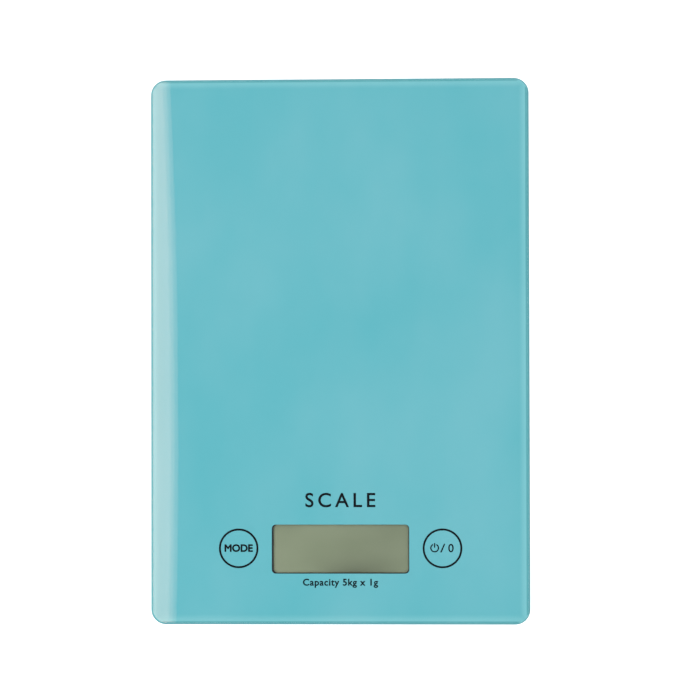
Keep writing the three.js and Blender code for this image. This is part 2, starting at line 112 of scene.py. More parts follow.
def edge_profile(z0, z1, low_round, high_round, steps=4):
    """(inset, z) up the side of a slab from z0 to z1 whose lower and upper edges are rounded."""
    turns = [i / steps * pi / 2 for i in range(steps + 1)]
    low = [(low_round * (1 - sin(t)), z0 + low_round * (1 - cos(t))) for t in turns]
    high = [(high_round * (1 - cos(t)), z1 - high_round * (1 - sin(t))) for t in turns]
    return (low if low_round else [(0, z0)]) + (high if high_round else [(0, z1)])


def new_object(name, mesh):
    made = bpy.data.objects.new(name, mesh)
    bpy.context.scene.collection.objects.link(made)
    return made


def solid(points, faces):
    """An object from points in millimetres, with its faces turned outwards."""
    mesh = bpy.data.meshes.new("solid")
    mesh.from_pydata([Vector(p) * MM for p in points], [], faces)
    work = bmesh.new()
    work.from_mesh(mesh)
    bmesh.ops.remove_doubles(work, verts=work.verts, dist=1e-7)
    bmesh.ops.dissolve_degenerate(work, edges=work.edges, dist=1e-7)
    bmesh.ops.recalc_face_normals(work, faces=work.faces)
    work.to_mesh(mesh)
    work.free()
    return new_object("solid", mesh)


def walls(count, levels):
    """The faces between the rings of a stack, all with the same number of points."""
    faces = []
    for level in range(levels - 1):
        for i in range(count):
            a, b = level * count + i, level * count + (i + 1) % count
            faces.append((a, b, b + count, a + count))
    return faces


def loft(sections):
    """A solid through a stack of (outline, z), all with the same number of points."""
    count = len(sections[0][0])
    points = [(x, y, z) for outline, z in sections for x, y in outline]
    ends = [tuple(range(count))[::-1], tuple(range(len(points) - count, len(points)))]
    return solid(points, ends + walls(count, len(sections)))


def plate(width, depth, radius, z0, z1, x=0, y=0, low_round=0, high_round=0, steps=12, edge_steps=4):
    """A rounded rectangle of the given thickness, with its edges rounded."""
    sections = []
    for i, z in edge_profile(z0, z1, low_round, high_round, edge_steps):
        sections.append((rounded_rect(width - 2 * i, depth - 2 * i, max(radius - i, 0.02), x, y, steps), z))
    return loft(sections)


def slab(box, radius, *rounds, **steps):
    """A plate that fills a CAD node's box."""
    size, low, high = box.size, box.low.z, box.high.z
    return plate(size.x, size.y, radius, low, high, box.x, box.y, *rounds, **steps)


def block(width, depth, z0, z1, x=0, y=0, edge=0.15):
    """A moulded block with softened edges."""
    return plate(width, depth, edge, z0, z1, x, y, edge, edge, steps=2, edge_steps=2)


def revolve(profile, x=0, y=0, steps=48):
    """A closed body turned about Z from (radius, z) pairs that start and end on the axis."""
    points, rings = [], []
    for r, z in profile:
        ring = [len(points)] if r == 0 else list(range(len(points), len(points) + steps))
        turns = [2 * pi * i / steps for i in range(len(ring))]
        points += [(x + r * cos(t), y + r * sin(t), z) for t in turns]
        rings.append(ring)
    faces = []
    for low, high in zip(rings, rings[1:]):
        for i in range(steps):
            j = (i + 1) % steps
            around = [low[i % len(low)], low[j % len(low)], high[j % len(high)], high[i % len(high)]]
            face = tuple(dict.fromkeys(around))
            if len(face) > 2:
                faces.append(face)
    return solid(points, faces)


def rod(radius, z0, z1, x=0, y=0, edge=0, steps=40):
    turned = [(max(radius - i, 0.01), z) for i, z in edge_profile(z0, z1, edge, edge, 3)]
    return revolve([(0, z0)] + turned + [(0, z1)], x, y, steps)


def flared_hole(radius, z0, z1, x=0, y=0, flare=0.4, steps=64):
    """What a round hole takes away, where its mouth at z0 is rounded over."""
    mouth = [(radius + flare * (1 - sin(t)), z0 + flare * (1 - cos(t))) for t in (0, 0.4, 0.8, 1.2, pi / 2)]
    return revolve([(0, z0 - 1), (radius + flare, z0 - 1), *mouth, (radius, z1), (0, z1)], x, y, steps)


def flared_slot(width, depth, radius, z0, z1, x=0, y=0, flare=0.25):
    """What a rectangular recess takes away, where its mouth at z0 is rounded over."""
    sides = [(flare * (1 - sin(t)), z0 + flare * (1 - cos(t))) for t in (0, 0.5, 1.0, pi / 2)]
    sides = [(flare, z0 - 1), *sides, (0, z1)]
    return loft([(rounded_rect(width + 2 * f, depth + 2 * f, radius + f, x, y, 6), z) for f, z in sides])


def bake_modifiers(made):
    """Replaces an object's mesh with what its modifiers make of it."""
    graph = bpy.context.evaluated_depsgraph_get()
    mesh = bpy.data.meshes.new_from_object(made.evaluated_get(graph))
    made.modifiers.clear()
    made.data = mesh
    return made


def combine(base, others, operation):
    for other in others:
        step = base.modifiers.new(operation, "BOOLEAN")
        step.operation = operation
        step.solver = "MANIFOLD"
        step.object = other
    bake_modifiers(base)
    for other in others:
        bpy.data.objects.remove(other)
    return base


def join(base, *others):
    return combine(base, others, "UNION")


def cut(base, *others):
    return combine(base, others, "DIFFERENCE")


def group(base, *others):
    """Several separate solids as one object, without a boolean."""
    work = bmesh.new()
    for made in (base, *others):
        work.from_mesh(made.data)
    work.to_mesh(base.data)
    work.free()
    for other in others:
        bpy.data.objects.remove(other)
    return base


def at(x, y, z=0.0):
    """A move by a distance given in millimetres."""
    return Matrix.Translation(Vector((x, y, z)) * MM)


def moved(made, matrix):
    made.data.transform(matrix)
    return made


PER_SPAN = 24  # how finely a curve is followed between two of its given points


def catmull(points, steps):
    """Points along a smooth curve through the ones given, about evenly spread."""
    route = [Vector(p) for p in points]
    ends = [2 * route[0] - route[1], *route, 2 * route[-1] - route[-2]]
    fine = []
    for a, b, c, d in zip(ends, ends[1:], ends[2:], ends[3:]):
        bend, twist = 2 * a - 5 * b + 4 * c - d, 3 * b - a - 3 * c + d
        for i in range(PER_SPAN):
            t = i / PER_SPAN
            fine.append(0.5 * (2 * b + (c - a) * t + bend * t**2 + twist * t**3))
    fine.append(route[-1])
    lengths = [0.0]
    for a, b in zip(fine, fine[1:]):
        lengths.append(lengths[-1] + (b - a).length)
    even, k = [], 0
    for i in range(steps + 1):
        want = lengths[-1] * i / steps
        while k < len(fine) - 2 and lengths[k + 1] < want:
            k += 1
        share = (want - lengths[k]) / max(lengths[k + 1] - lengths[k], 1e-9)
        even.append(fine[k].lerp(fine[k + 1], min(share, 1)))
    return even


def headings(route):
    """The direction of travel at each point of a route."""
    last = len(route) - 1
    return [(route[min(i + 1, last)] - route[max(i - 1, 0)]).normalized() for i in range(last + 1)]


def frames_along(path):
    """A (sideways, up) pair at each point of a path, turning as little as it can."""
    side = None
    pairs = []
    for along in headings(path):
        if side is None:
            side = along.cross(Vector((0, 0, 1)))
            side = side if side.length > 0.1 else along.cross(Vector((1, 0, 0)))
        side = (side - along * side.dot(along)).normalized()
        pairs.append((side, along.cross(side)))
    return pairs


def tube(path, radius, sides=12):
    """A round wire along a path, with closed ends."""
    points = []
    for centre, (side, up) in zip(path, frames_along(path)):
        for i in range(sides):
            turn = 2 * pi * i / sides
            points.append(centre + radius * (cos(turn) * side + sin(turn) * up))
    ends = [tuple(range(sides)), tuple(range(len(points) - sides, len(points)))]
    return solid(points, ends + walls(sides, len(path)))


def strip(path, thickness, width, y):
    """A bent strip of sheet metal: (x, z) points, swept to its width about y."""
    points = [Vector((x, 0, z)) for x, z in path]
    outline_low, outline_high = [], []
    for point, along in zip(points, headings(points)):
        side = Vector((-along.z, 0, along.x)) * thickness / 2
        outline_low.append(point - side)
        outline_high.append(point + side)
    loop = outline_low + outline_high[::-1]
    count = len(loop)
    ends = [(p.x, y + s * width / 2, p.z) for s in (-1, 1) for p in loop]
    faces = [tuple(range(count)), tuple(range(count, 2 * count))]
    faces += [(i, (i + 1) % count, count + (i + 1) % count, count + i) for i in range(count)]
    return solid(ends, faces)


def softened(profile, radius, steps=3):
    """A profile with its inner points rounded off; the ends stay."""
    points = [Vector((*p, 0)) for p in profile]
    rounded = [points[0]]
    for before, point, after in zip(points, points[1:], points[2:]):
        reach = min(radius, (before - point).length / 2, (after - point).length / 2)
        start = point + (before - point).normalized() * reach
        end = point + (after - point).normalized() * reach
        for i in range(steps + 1):
            t = i / steps
            rounded.append(start * (1 - t) ** 2 + point * 2 * t * (1 - t) + end * t**2)
    rounded.append(points[-1])
    return [(p.x, p.y) for p in rounded]


def ribbon(points, width, z0, z1):
    """A flat track along (x, y) points."""
    route = [Vector((*p, 0)) for p in points]
    left, right = [], []
    for point, along in zip(route, headings(route)):
        side = Vector((-along.y, along.x, 0)) * width / 2
        left.append(point + side)
        right.append(point - side)
    outline = [(p.x, p.y) for p in right + left[::-1]]
    return loft([(outline, z0), (outline, z1)])


def painted(made, index):
    """Gives every face of a piece's part the material slot with that index."""
    for face in made.data.polygons:
        face.material_index = index
    return made


def bevelled(made, width):
    step = made.modifiers.new("bevel", "BEVEL")
    step.width = width * MM
    step.segments = 2
    step.limit_method = "ANGLE"
    step.angle_limit = radians(50)
    return bake_modifiers(made)


def finish(made, name, materials, body="housing", smooth=35):
    """Names a finished piece, shades it, gives it its materials and ties it to its CAD body."""
    made.name = name
    made.data.name = name
    indices = [face.material_index for face in made.data.polygons]
    made.data.materials.clear()
    for material in materials if isinstance(materials, list) else [materials]:
        made.data.materials.append(material)
    made.data.polygons.foreach_set("material_index", indices)
    made.data.shade_smooth()
    made.data.set_sharp_from_angle(angle=radians(smooth))
    weights = made.modifiers.new("weighted_normals", "WEIGHTED_NORMAL")
    weights.keep_sharp = True
    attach(made, body)


def place(made, name, materials, replaced, body="housing"):
    """Finishes a piece that stands for a CAD node."""
    finish(made, name, materials, body)
    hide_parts(replaced)


# ---------------------------------------------------------------- materials

NOISE_SPAN = (0.3, 0.7)  # the part of a noise's range that nearly all of it lies in


def shader_of(made):
    return made.node_tree.nodes["Principled BSDF"]


def link(made, output, target):
    made.node_tree.links.new(output, target)


def principled(name, color, roughness, metallic=0.0, **more):
    made = bpy.data.materials.new("look_" + name)
    made.use_nodes = True
    shader = shader_of(made)
    shader.inputs["Base Color"].default_value = (*color, 1)
    shader.inputs["Roughness"].default_value = roughness
    shader.inputs["Metallic"].default_value = metallic
    for socket, value in more.items():
        shader.inputs[socket.replace("_", " ")].default_value = value
    return made


def node(made, kind, **values):
    new = made.node_tree.nodes.new(kind)
    for key, value in values.items():
        if key in new.inputs:
            new.inputs[key].default_value = value
        else:
            setattr(new, key, value)
    return new


def located(made, texture, **placing):
    """What a texture gives in the object's own space."""
    spot = node(made, "ShaderNodeTexCoord")
    mapping = node(made, "ShaderNodeMapping", **placing)
    link(made, spot.outputs["Object"], mapping.inputs["Vector"])
    link(made, mapping.outputs["Vector"], texture.inputs["Vector"])
    return texture.outputs["Fac"]


def noise(made, scale, detail=3, stretch=(1, 1, 1)):
    """Noise in the object's own space; scale is in features per metre."""
    return located(made, node(made, "ShaderNodeTexNoise", Scale=scale, Detail=detail), Scale=stretch)


def math(made, operation, *values):
    """The result of a math node, fed with numbers and the outputs of other nodes."""
    new = node(made, "ShaderNodeMath", operation=operation)
    for socket, value in zip(new.inputs, values):
        if isinstance(value, (int, float)):
            socket.default_value = value
        else:
            link(made, value, socket)
    return new.outputs[0]


def mapped(made, source, span, result, **kind):
    """The source, with its span (from, to) turned into the result (from, to)."""
    ranged = node(made, "ShaderNodeMapRange", **kind)
    for socket, value in zip(("From Min", "From Max", "To Min", "To Max"), (*span, *result)):
        ranged.inputs[socket].default_value = value
    link(made, source, ranged.inputs["Value"])
    return ranged.outputs["Result"]


def spread(made, source, low, high, socket):
    """Feeds a socket of the shader with the source, spread between low and high."""
    target = shader_of(made).inputs[socket]
    if isinstance(low, (int, float)):
        link(made, mapped(made, source, NOISE_SPAN, (low, high)), target)
        return made
    ramp = node(made, "ShaderNodeValToRGB")
    for stop, position, color in zip(ramp.color_ramp.elements, NOISE_SPAN, (low, high)):
        stop.position, stop.color = position, (*color, 1)
    link(made, source, ramp.inputs["Fac"])
    link(made, ramp.outputs["Color"], target)
    return made


def blend(made, kind, factor, color):
    """Blends the shader's base colour with another by a factor."""
    base = shader_of(made).inputs["Base Color"]
    mix = node(made, "ShaderNodeMix", data_type="RGBA", blend_type=kind)
    mix.inputs["B"].default_value = (*color, 1)
    link(made, factor, mix.inputs["Factor"])
    link(made, base.links[0].from_socket, mix.inputs["A"])
    link(made, mix.outputs["Result"], base)


def bump(made, source, strength, depth):
    """Relief from the source; depth is in millimetres."""
    relief = node(made, "ShaderNodeBump", Strength=strength, Distance=depth * MM)
    link(made, source, relief.inputs["Height"])
    link(made, relief.outputs["Normal"], shader_of(made).inputs["Normal"])
    return made


def shade(color, by):
    return tuple(min(c * by, 1) for c in color)


def moulded(name, color, roughness, grain=2600, depth=0.02):
    """Moulded plastic or rubber: a fine eroded texture, with slight changes of tone and gloss."""
    made = principled(name, color, roughness)
    spread(made, noise(made, 35, 4), shade(color, 0.95), shade(color, 1.03), "Base Color")
    spread(made, noise(made, 300, 4), roughness - 0.06, roughness + 0.07, "Roughness")
    return bump(made, noise(made, grain, 5), 0.35, depth)


def metal(name, color, roughness, stretch=(1, 1, 1), scale=900):
    """Sheet or turned metal, with its rolling or turning marks drawn out by stretch."""
    made = principled(name, color, roughness, 1.0)
    spread(made, noise(made, scale, 6, stretch), roughness - 0.08, roughness + 0.12, "Roughness")
    spread(made, noise(made, 60, 3), shade(color, 0.9), shade(color, 1.06), "Base Color")
    return bump(made, noise(made, scale * 2, 4, stretch), 0.08, 0.005)


def clear_for(made, first, second, tint=(1, 1, 1)):
    """Lets the rays that either source marks pass straight through a material."""
    either = math(made, "MAXIMUM", first, second)
    clear = node(made, "ShaderNodeBsdfTransparent")
    clear.inputs["Color"].default_value = (*tint, 1)
    mix = node(made, "ShaderNodeMixShader")
    for i, output in enumerate((either, shader_of(made).outputs[0], clear.outputs[0])):
        link(made, output, mix.inputs[i])
    link(made, mix.outputs[0], made.node_tree.nodes["Material Output"].inputs["Surface"])


def platform_glass(name, tint, passed):
    """Clear tempered glass. Lamp and bounce light pass straight through it to the print below."""
    made = principled(name, tint, 0.0, IOR=1.52, Transmission_Weight=1)
    spread(made, noise(made, 90, 2), 0.008, 0.018, "Roughness")
    rays = node(made, "ShaderNodeLightPath")
    clear_for(made, rays.outputs["Is Shadow Ray"], rays.outputs["Is Diffuse Ray"], passed)
    return made


def turquoise_print():
    """Screen-printed ink on the back of the glass, very slightly uneven in tone."""
    made = principled("turquoise_print", (0.137, 0.449, 0.515), 0.55, Specular_IOR_Level=0)
    spread(made, noise(made, 16, 6, (1.6, 1, 1)), (0.115, 0.434, 0.500), (0.160, 0.464, 0.530), "Base Color")
    # painted light near the rim, with painted shade at its very edge
    paint_rim_light_and_shade(made)
    return bump(made, noise(made, 1500, 3), 0.1, 0.004)


def paint_rim_light_and_shade(made):
    """Paints light onto the print near the rim, for the light that enters by the glass's edges and reaches
    it.

    Its outermost band, under the rounded edge, is painted darker as shade. Both are widest on the right and
    in front.
    """
    spot = node(made, "ShaderNodeTexCoord")
    apart = node(made, "ShaderNodeSeparateXYZ")
    link(made, spot.outputs["Object"], apart.inputs[0])
    inward = []
    for i, (half, shift) in enumerate(((GLASS.size.x / 2, 0.4), (GLASS.size.y / 2, -0.1))):
        size = math(made, "ABSOLUTE", math(made, "ADD", apart.outputs[i], shift * MM))
        inward.append(math(made, "SUBTRACT", half * MM, size))
    nearest = math(made, "MINIMUM", *inward)
    smooth = {"interpolation_type": "SMOOTHSTEP"}
    # painted light: the print made lighter in from the rim
    glow = mapped(made, nearest, (1.0 * MM, 4.2 * MM), (0.13, 0.0), **smooth)
    blend(made, "ADD", glow, (0.55, 0.6, 0.55))
    # painted shade: the print made darker right at the rim
    painted_rim_shade = mapped(made, nearest, (0.8 * MM, 1.3 * MM), (1.0, 0.0), **smooth)
    blend(made, "MULTIPLY", painted_rim_shade, (0.56, 0.72, 0.73))


def display_face():
    """The display's front polarizer over its reflector: grey-green, with painted shade to the right and in
    front.
    """
    made = principled("display_face", (0.24, 0.29, 0.19), 0.32, Specular_IOR_Level=0.3)
    spread(made, noise(made, 70, 3, (0.6, 1, 1)), (0.215, 0.242, 0.160), (0.252, 0.280, 0.190), "Base Color")
    # painted shade: darker to the right, and darker still in front
    paint_shade(made, (LCD.x + 18, WINDOW["y"]), (36, 60), 0.82)
    paint_shade(made, (LCD.x + 5.5, WINDOW["y"] - 11), (25, 13), 0.4)
    return bump(made, noise(made, 4000, 2), 0.05, 0.003)


def paint_shade(made, centre, reach, least):
    """Paints shade: multiplies the base colour by least at a centre (x, y), fading to nothing at its reach.
    """
    spot, scale = Vector((*centre, LCD.high.z + 1)) * MM, Vector((*reach, 40)) * MM
    blob = node(made, "ShaderNodeTexGradient", gradient_type="QUADRATIC_SPHERE")
    factor = located(made, blob, vector_type="TEXTURE", Location=spot, Scale=scale)
    blend(made, "MULTIPLY", factor, (least, least, least))


def ink():
    made = moulded("black_ink", (0.006, 0.007, 0.009), 0.5, depth=0.003)
    shader_of(made).inputs["Specular IOR Level"].default_value = 0
    return made


def zebra():
    """The connector's conducting layers, which alternate with clear silicone along its length."""
    made = principled("zebra_layers", (0.02, 0.02, 0.02), 0.55)
    spot = node(made, "ShaderNodeTexCoord")
    wave = node(made, "ShaderNodeTexWave", Scale=900, Distortion=0.4)
    link(made, spot.outputs["Object"], wave.inputs["Vector"])
    return spread(made, wave.outputs["Fac"], (0.015, 0.015, 0.016), (0.45, 0.30, 0.27), "Base Color")


INK = ink()
WHITE = moulded("white_plastic", (0.72, 0.73, 0.725), 0.42)
FOAM = moulded("black_foam", (0.02, 0.02, 0.021), 0.9, grain=1500, depth=0.12)
RUBBER = moulded("grey_rubber", (0.25, 0.258, 0.27), 0.8, grain=1800, depth=0.04)
GLASS_CLEAR = platform_glass("platform_glass", (0.965, 0.995, 0.985), (0.96, 0.985, 0.98))
GLASS_RIM = platform_glass("polished_glass_rim", (0.35, 0.5, 0.5), (0.8, 0.9, 0.88))
PRINT = turquoise_print()
DISPLAY = display_face()
BRIGHT_STEEL = metal("bright_steel", (0.62, 0.63, 0.65), 0.25)
SPRING_STEEL = metal("spring_steel", (0.52, 0.54, 0.56), 0.3)
CELL_STEEL = metal("cell_steel", (0.66, 0.665, 0.67), 0.28, (0.1, 1, 1), 700)
SOLDER = metal("solder", (0.6, 0.61, 0.62), 0.3)
PANE = moulded("display_pane", (0.30, 0.35, 0.27), 0.12, depth=0.002)
REFLECTOR = metal("display_reflector", (0.5, 0.53, 0.46), 0.4)
ZEBRA = zebra()
BOARD_GREEN = moulded("solder_resist", (0.012, 0.13, 0.045), 0.35, grain=1200, depth=0.01)
TRACK_GREEN = moulded("track_under_resist", (0.03, 0.24, 0.08), 0.32, depth=0.01)
RESIN = moulded("black_resin", (0.012, 0.012, 0.013), 0.25, grain=500, depth=0.02)
SILICONE = moulded("white_silicone", (0.78, 0.77, 0.72), 0.45, grain=400, depth=0.06)
TANTALUM = moulded("tantalum_case", (0.45, 0.19, 0.03), 0.45, depth=0.01)
RED = moulded("red_jacket", (0.42, 0.02, 0.015), 0.45, depth=0.01)
BLACK = moulded("black_jacket", (0.02, 0.02, 0.022), 0.45, depth=0.01)
PALE = moulded("white_jacket", (0.7, 0.7, 0.68), 0.45, depth=0.01)


# ---------------------------------------------------------------- the platform


def window_plate(less_wide, less_deep, box, x=0.0, y=0.0):
    """What the display window takes away from the layer in a box, made smaller and moved as given."""
    width, depth = WINDOW["width"] - less_wide, WINDOW["depth"] - less_deep
    return plate(width, depth, WINDOW["corner"], box.low.z - 1, box.high.z + 1, x, WINDOW["y"] + y)


def add_platform():
    glass = slab(GLASS, GLASS_CORNER, 0.4, 0.9, steps=24, edge_steps=8)
    for face in glass.data.polygons:  # the ground and polished band round the sheet
        face.material_index = 1 if abs(face.normal.z) < RIM_NORMAL else 0
    place(glass, "tempered_glass", [GLASS_CLEAR, GLASS_RIM], "glass_platform")

    bond = 0.02  # the print lies this far into the glass, so that no air is left between them
    inset = (GLASS.size.x - FILM.size.x) / 2
    film = plate(FILM.size.x, FILM.size.y, GLASS_CORNER - inset, FILM.low.z, FILM.high.z + bond, steps=24)
    film = cut(film, window_plate(0, 0, FILM))
    place(film, "back_print", PRINT, "colour_film")

    inner = [size - 2 * TAPE_WIDTH for size in TAPE.size.xy]
    tape = cut(slab(TAPE, HOUSING_CORNER - 2), plate(*inner, 2, TAPE.low.z - 1, TAPE.high.z + 1))
    place(tape, "foam_tape", FOAM, "platform_tape")

    gasket = cut(slab(GASKET, 2), window_plate(1, 0.4, GASKET, 0.2, 0.15))
    place(gasket, "window_gasket", FOAM, "display_gasket")


def annulus(radius, stroke, x, y, z0, z1):
    ring = rod(radius + stroke / 2, z0, z1, x, y, steps=96)
    return cut(ring, rod(radius - stroke / 2, z0 - 1, z1 + 1, x, y, steps=96))


def lettering(text, width, x, y, z0, z1, weight, spacing):
    """Generic lettering in the built-in typeface, as wide as given and centred on (x, y).

    Copies shifted round a small circle are joined, which makes each stroke heavier by twice the weight.
    """
    curve = bpy.data.curves.new("lettering", "FONT")
    curve.body = text
    curve.extrude = 0.5
    curve.resolution_u = 6
    curve.space_character = spacing
    drawn = new_object("lettering", curve)
    graph = bpy.context.evaluated_depsgraph_get()
    mesh = bpy.data.meshes.new_from_object(drawn.evaluated_get(graph))
    bpy.data.objects.remove(drawn)
    spots = [v.co for v in mesh.vertices]
    low = Vector([min(p[i] for p in spots) for i in range(3)])
    high = Vector([max(p[i] for p in spots) for i in range(3)])
    size = (width - 2 * weight) / (high.x - low.x)
    tall = z1 - z0
    fit = Matrix.Diagonal((size * MM, size * MM, tall * MM, 1)) @ Matrix.Translation(-(low + high) / 2)
    mesh.transform(at(x, y, (z0 + z1) / 2) @ fit)
    work = bmesh.new()
    work.from_mesh(mesh)
    bmesh.ops.remove_doubles(work, verts=work.verts, dist=1e-8)
    work.to_mesh(mesh)
    work.free()
    copies = []
    for i in range(8):
        turn = 2 * pi * i / 8
        copy = new_object("lettering", mesh.copy())
        copies.append(moved(copy, at(weight * cos(turn), weight * sin(turn))))
    return join(*copies)


def bar(length, thickness, x, y, z0, z1, lean=0.0):
    """A straight printed stroke, leaning by the angle given."""
    made = plate(thickness, length, thickness / 2 - 0.01, z0, z1, steps=4)
    return moved(made, at(x, y) @ Matrix.Rotation(lean, 4, "Z"))


def power_symbol(x, y, radius, stroke, z0, z1):
    """A ring open at the top, with an upright stroke in the gap."""
    gap = radians(24)
    outline = []
    for side, r in ((1, radius + stroke / 2), (-1, radius - stroke / 2)):
        turns = [pi / 2 + side * (gap + (2 * pi - 2 * gap) * i / 40) for i in range(41)]
        outline += [(x + r * cos(t), y + r * sin(t)) for t in turns]
    return group(
        loft([(outline, z0), (outline, z1)]),
        bar(radius * 1.25, stroke, x, y + radius * 0.68, z0, z1),
    )


def add_legends():
    z0 = FILM.high.z + 0.01
    z1 = FILM.high.z + 0.04
    y = KEY_Y
    ring, stroke = 7.46, 0.78
    parts = [
        annulus(ring, stroke, -KEY_X, y, z0, z1),
        annulus(ring, stroke, KEY_X, y, z0, z1),
        lettering("MODE", 11.3, -KEY_X, y + 0.1, z0, z1, 0.16, 1.0),
        power_symbol(KEY_X - 3.1, y + 0.15, 1.5, 0.5, z0, z1),
        bar(3.8, 0.55, KEY_X + 0.1, y + 0.1, z0, z1, radians(-24)),
        lettering("0", 2.15, KEY_X + 3.35, y + 0.1, z0, z1, 0.06, 1.0),
        lettering("SCALE", 27.8, 0, y + 19.1, z0, z1, 0.1, 1.36),
        lettering("Capacity 5kg x 1g", 29.8, 0, y - 13.8, z0, z1, 0.1, 1.1),
    ]
    finish(group(*parts), "printed_legends", INK, smooth=30)


# ---------------------------------------------------------------- the housing


def screw_spots(prefix, spots):
    boxes = [Box(prefix + spot) for spot in spots]
    return [(box.x, box.y) for box in boxes]


CASE_SCREW_SPOTS = screw_spots("case_screw_", CASE_SCREWS)
BOARD_SCREW_SPOTS = screw_spots("board_screw_", CORNERS)


def load_cell_corners():
    """Where each load cell is held: four spots round each foot."""
    reach_x, reach_y = 8.1, 11.4
    for sx, sy in CORNERS.values():
        for px in (-1, 1):
            for py in (-1, 1):
                yield sx * FOOT.x + px * reach_x, sy * FOOT.y + py * reach_y


def add_upper_frame():
    top = DECK.high.z
    root = DECK_LOW + 0.2  # everything under the plate starts inside it
    ribs_low = DECK_LOW - 1.7
    width, depth = DECK.size.x, DECK.size.y
    body = plate(width, depth, HOUSING_CORNER, DECK_LOW, top, low_round=0.12, high_round=0.3, steps=20)
    skirt = cut(
        plate(width - 4.6, depth - 4.6, 8.2, ribs_low, root, low_round=0.3),
        plate(width - 7, depth - 7, 7, DECK_LOW - 3, root + 1),
    )
    ribs = [block(1.2, 153, ribs_low, root, x, 19.5) for x in (-22, 22)]
    ribs += [block(131, 1.2, ribs_low, root, 0, y) for y in (-14, 24, 62)]
    posts = [block(2.4, 4, LOAD_CELL.high.z + 0.1, root, x, y) for x, y in load_cell_corners()]
    stops = [
        rod(1.5, LOAD_CELL.high.z + 0.6, root, sx * FOOT.x, sy * (FOOT.y + 1.5), 0.2)
        for sx, sy in CORNERS.values()
    ]
    bosses = [rod(3.2, 8.2, root, x, y, 0.3) for x, y in CASE_SCREW_SPOTS]
    bosses += [rod(2.3, BOARD.high.z + 0.1, root, x, y, 0.2) for x, y in BOARD_SCREW_SPOTS]
    joined = join(body, skirt, *ribs, *posts, *stops, *bosses)
    holes = [plate(62.8, 26.8, 0.8, DECK_LOW - 1, top + 1, y=KEY_Y, steps=6)]
    holes += [flared_hole(6, DECK_LOW, top + 1, s * KEY_X, KEY_Y, 0.2) for s in (-1, 1)]
    holes += [rod(1.2, 0, top - 0.6, x, y, steps=24) for x, y in CASE_SCREW_SPOTS]
    holes += [rod(0.9, 0, DECK_LOW + 0.4, x, y, steps=20) for x, y in BOARD_SCREW_SPOTS]
    place(cut(joined, *holes), "upper_frame_shell", WHITE, "upper_frame")


def along_hinge(made):
    """Lays an upright rod along the door's hinge."""
    axis = Matrix.Translation((0, HINGE["y"] * MM, HINGE["z"] * MM))
    return moved(made, axis @ Matrix.Rotation(pi / 2, 4, "Y"))


def cover_tray():
    """The cover's shell, with a rounded bottom edge and a wall that thins upwards."""
    width, depth = COVER.size.x, COVER.size.y
    low, floor, top = COVER.low.z, FLOOR_TOP, COVER.high.z
    lean, rounding = 1.6, 2.0
    turns = [i / 8 * pi / 2 for i in range(9)]
    sides = [(lean / 2 + rounding * (1 - sin(t)), low + rounding * (1 - cos(t))) for t in turns]
    sides += [(0, top - 0.3), (0.1, top - 0.08), (0.3, top)]
    outer = [(rounded_rect(width - 2 * i, depth - 2 * i, HOUSING_CORNER - i, steps=20), z) for i, z in sides]
    wall = [(6, 6.6, floor), (5.2, 6.9, floor + 0.3), (4.6, 7.2, floor + 1.4), (3.6, 7.6, top + 1)]
    inner = [(rounded_rect(width - less, depth - less, corner), z) for less, corner, z in wall]
    return cut(loft(outer), loft(inner))


def cover_holes(pocket, pocket_top, recess_top, boss_top):
    """Everything that is cut out of the cover: the feet's and screws' holes and the battery bay."""
    low, bay_y = COVER.low.z, CELL.y
    holes = []
    for sx, sy in CORNERS.values():
        x, y = sx * FOOT.x, sy * FOOT.y
        holes.append(flared_hole(8, low + 0.5, FLOOR_TOP + 1, x, y, 0.3))
        holes.append(flared_hole(9.1, low, low + 0.5, x, y, 0.3))
    for x, y in CASE_SCREW_SPOTS:
        holes.append(flared_hole(2.9, low, 5.2, x, y, 0.3))
        holes.append(rod(1.35, 0, boss_top + 1, x, y, steps=24))
    front = bay_y - BAY_DEPTH / 2
    notch = revolve([(0, -6), (5, -6), (5, -0.01), (4.6, 0.5), (3.4, 0.8), (0, 0.85)], steps=48)
    notch_spot = Matrix.Translation((0, (front - 0.2) * MM, low * MM))
    return holes + [
        flared_slot(28.4, BAY_DEPTH + 0.4, 0.3, low, recess_top, 0, bay_y),
        rod(pocket, BAY_LOW, pocket_top, 0, bay_y, steps=72),
        block(9.4, 2.6, BAY_LOW, recess_top + 2, 0, front + 1.1),
        block(1.4, 5, pocket_top - 0.5, pocket_top + 2, 8, bay_y),
        block(1.6, 5.2, recess_top + 0.4, pocket_top + 2, -11, bay_y),
        along_hinge(rod(HINGE["pin"] + 0.1, -15.8, 15.8, steps=20)),
        moved(notch, notch_spot @ Matrix.Diagonal((1, 0.6, 1, 1))),
    ]


def add_bottom_cover():
    floor = FLOOR_TOP - 0.2
    boss_top, recess_top, pocket_top = 8.1, 4.1, 8.4
    pocket = CELL.size.x / 2 + 0.4
    inside = [block(2.4, 4.6, floor, LOAD_CELL.low.z - 0.1, x, y) for x, y in load_cell_corners()]
    inside += [rod(4.2, floor, boss_top, x, y, 0.3) for x, y in CASE_SCREW_SPOTS]
    inside += [
        plate(32, BAY_DEPTH + 4, 1, floor, recess_top + 1.2, y=CELL.y, high_round=0.3),
        rod(pocket + 1.6, floor, pocket_top + 1, 0, CELL.y, 0.3, 72),
    ]
    joined = join(cover_tray(), *inside)
    cover = cut(joined, *cover_holes(pocket, pocket_top, recess_top, boss_top))
    place(cover, "bottom_cover_shell", WHITE, "bottom_cover")


# ---------------------------------------------------------------- fasteners and feet


